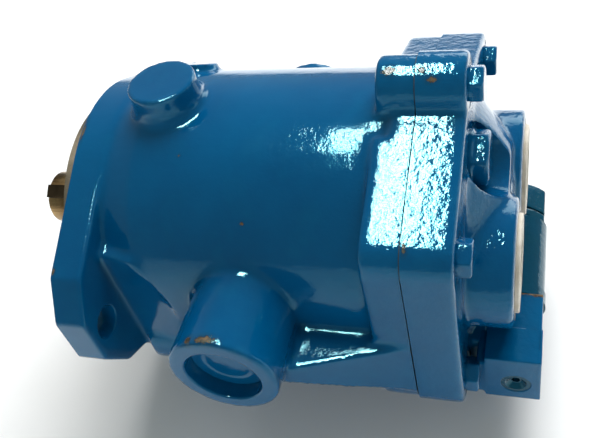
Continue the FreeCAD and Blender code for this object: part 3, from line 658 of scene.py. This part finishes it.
def compensator():
    """The valve block, with the step down to its seat filled and a shallow pocket in its top."""
    fill = Solid()
    cut = Solid()
    end = low("compensator_body").y
    fill.turned([(-end - 7, 0), (-end - 7, 7.5), (-end - 0.1, 7.5), (-end - 0.1, 0)],
                (COMP.x, 0, COMP.z), "-Y")
    fill.box((COMP_SEAT - 0.4, end + 0.6, -53.5), (COMP_SEAT + 6, end + 17, -31))
    cut.turned(recess(6.0, -end - 6.5, -end, 0.5), (COMP.x, 0, COMP.z), "-Y")
    cut.box((184.6, end + 6.5, -28.2), (190.6, end + 30, -20))
    made = casting("compensator_block", "compensator_body", 0.5, 7, even_roundness(0.7), (), fill, cut, 0.1,
                   [((COMP.x + 6, -16, -34), (16, 3.5, 9)), ((COMP.x + 6, end + 16, -30), (5, 10, 6))])
    place_piece(made, "case", "blue_enamel", "compensator_body")


housing()
valve_cover()
port_lands()
cover_bolts()
cover_plug()
pintle_plugs()
adjuster()
compensator()

# ---- other CAD nodes keep their shape and get their finish ----

FINISHES = {
    "blue_enamel": BLUE, "dark_enamel": DARK_BLUE, "gasket_sheet": GASKET, "shaft_steel": SHAFT,
    "bearing_steel": BEARING, "bronze": BRONZE, "hardened_steel": HARD_STEEL, "spring_steel": SPRING,
    "cast_yoke": YOKE, "seal_rubber": RUBBER,
}
SLOT_OF = {row["node"]: row["material_slot"] for row in frame["record"]["subparts"]}
for node, thing in NODES.items():
    finish = KEY if node == "shaft_key" else FINISHES[SLOT_OF[node]]
    thing.data.materials.clear()
    thing.data.materials.append(finish)

# ---- floor, light and camera ----

FLOOR_Z = cad_box[0].z - 0.0005
floor_mesh = bpy.data.meshes.new("floor")
floor_mesh.from_pydata([(x, y, FLOOR_Z) for x, y in ((-6, -6), (6, -6), (6, 6), (-6, 6))], [], [(0, 1, 2, 3)])
floor = bpy.data.objects.new("floor", floor_mesh)
bpy.context.scene.collection.objects.link(floor)
floor_mesh.materials.append(FLOOR)


def lamp(name, at, target, size, power, colour=(1, 1, 1)):
    """A rectangle of light that faces a target, its second side as near to Y as that allows."""
    data = bpy.data.lights.new(name, "AREA")
    data.shape = "RECTANGLE"
    data.size, data.size_y = size
    data.energy = power
    data.color = colour
    thing = bpy.data.objects.new(name, data)
    back = (Vector(at) - Vector(target)).normalized()
    side = Vector((0, 1, 0)).cross(back).normalized()
    turn = Matrix((side, back.cross(side), back)).transposed()
    thing.matrix_world = Matrix.Translation(at) @ turn.to_4x4()
    bpy.context.scene.collection.objects.link(thing)
    return thing


FOCUS = Vector((0.1, 0.0, 0.02))


def lamp_towards(name, direction, reach, size, radiance, colour=(1, 1, 1), shows="both"):
    """A soft box seen from the pump in one direction, as bright as its radiance."""
    at = FOCUS + Vector(direction).normalized() * reach
    made = lamp(name, at, FOCUS, size, radiance * math.pi * size[0] * size[1], colour)
    made.visible_glossy = shows != "matt"
    made.visible_diffuse = shows != "gloss"
    return made


# a long narrow light overhead gives the sharp glints, and a wide one behind the pump its even light
lamp_towards("overhead_strip", (-0.145, 0.04, 0.985), 1.5, (0.11, 0.95), 80, shows="gloss")
lamp_towards("overhead_window", (-0.23, 0.14, 0.96), 1.5, (0.06, 0.5), 60, shows="gloss")
lamp_towards("key_panel", (0.1, 0.62, 0.78), 1.5, (1.3, 1.3), 8.5, shows="matt")
lamp_towards("wall_panel", (0.25, 0.93, 0.36), 1.5, (1.2, 0.6), 3.0, shows="gloss")
lamp_towards("side_panel", (0.95, 0.2, 0.1), 1.8, (1.2, 0.8), 0.8)
lamp_towards("front_panel", (0.1, -0.99, 0.05), 1.5, (1.0, 1.0), 3.0, shows="matt")

world = bpy.data.worlds.new("studio")
bpy.context.scene.world = world
world.use_nodes = True
world.node_tree.nodes["Background"].inputs["Color"].default_value = (0.9, 1.0, 0.97, 1)
world.node_tree.nodes["Background"].inputs["Strength"].default_value = 0.3
bpy.context.scene.view_settings.view_transform = "Standard"

CAMERA_AT = Vector((189.720, -227.804, 241.286)) * MM
YAW, PITCH, ROLL = 26.1125, -44.6929, 16.5220
FRAME_WIDE = 590
FOCAL = 754.283
camera_data = bpy.data.cameras.new("camera")
camera_data.sensor_width = 36
camera_data.lens = FOCAL / FRAME_WIDE * camera_data.sensor_width
camera_data.clip_start = 0.01
camera = bpy.data.objects.new("camera", camera_data)
turn = (Matrix.Rotation(math.radians(YAW), 3, "Z") @ Matrix.Rotation(math.radians(PITCH), 3, "X")
        @ Matrix.Rotation(math.radians(ROLL), 3, "Y"))
right, ahead, up = turn.col
camera.matrix_world = Matrix.Translation(CAMERA_AT) @ Matrix((right, up, -ahead)).transposed().to_4x4()
bpy.context.scene.collection.objects.link(camera)
bpy.context.scene.camera = camera
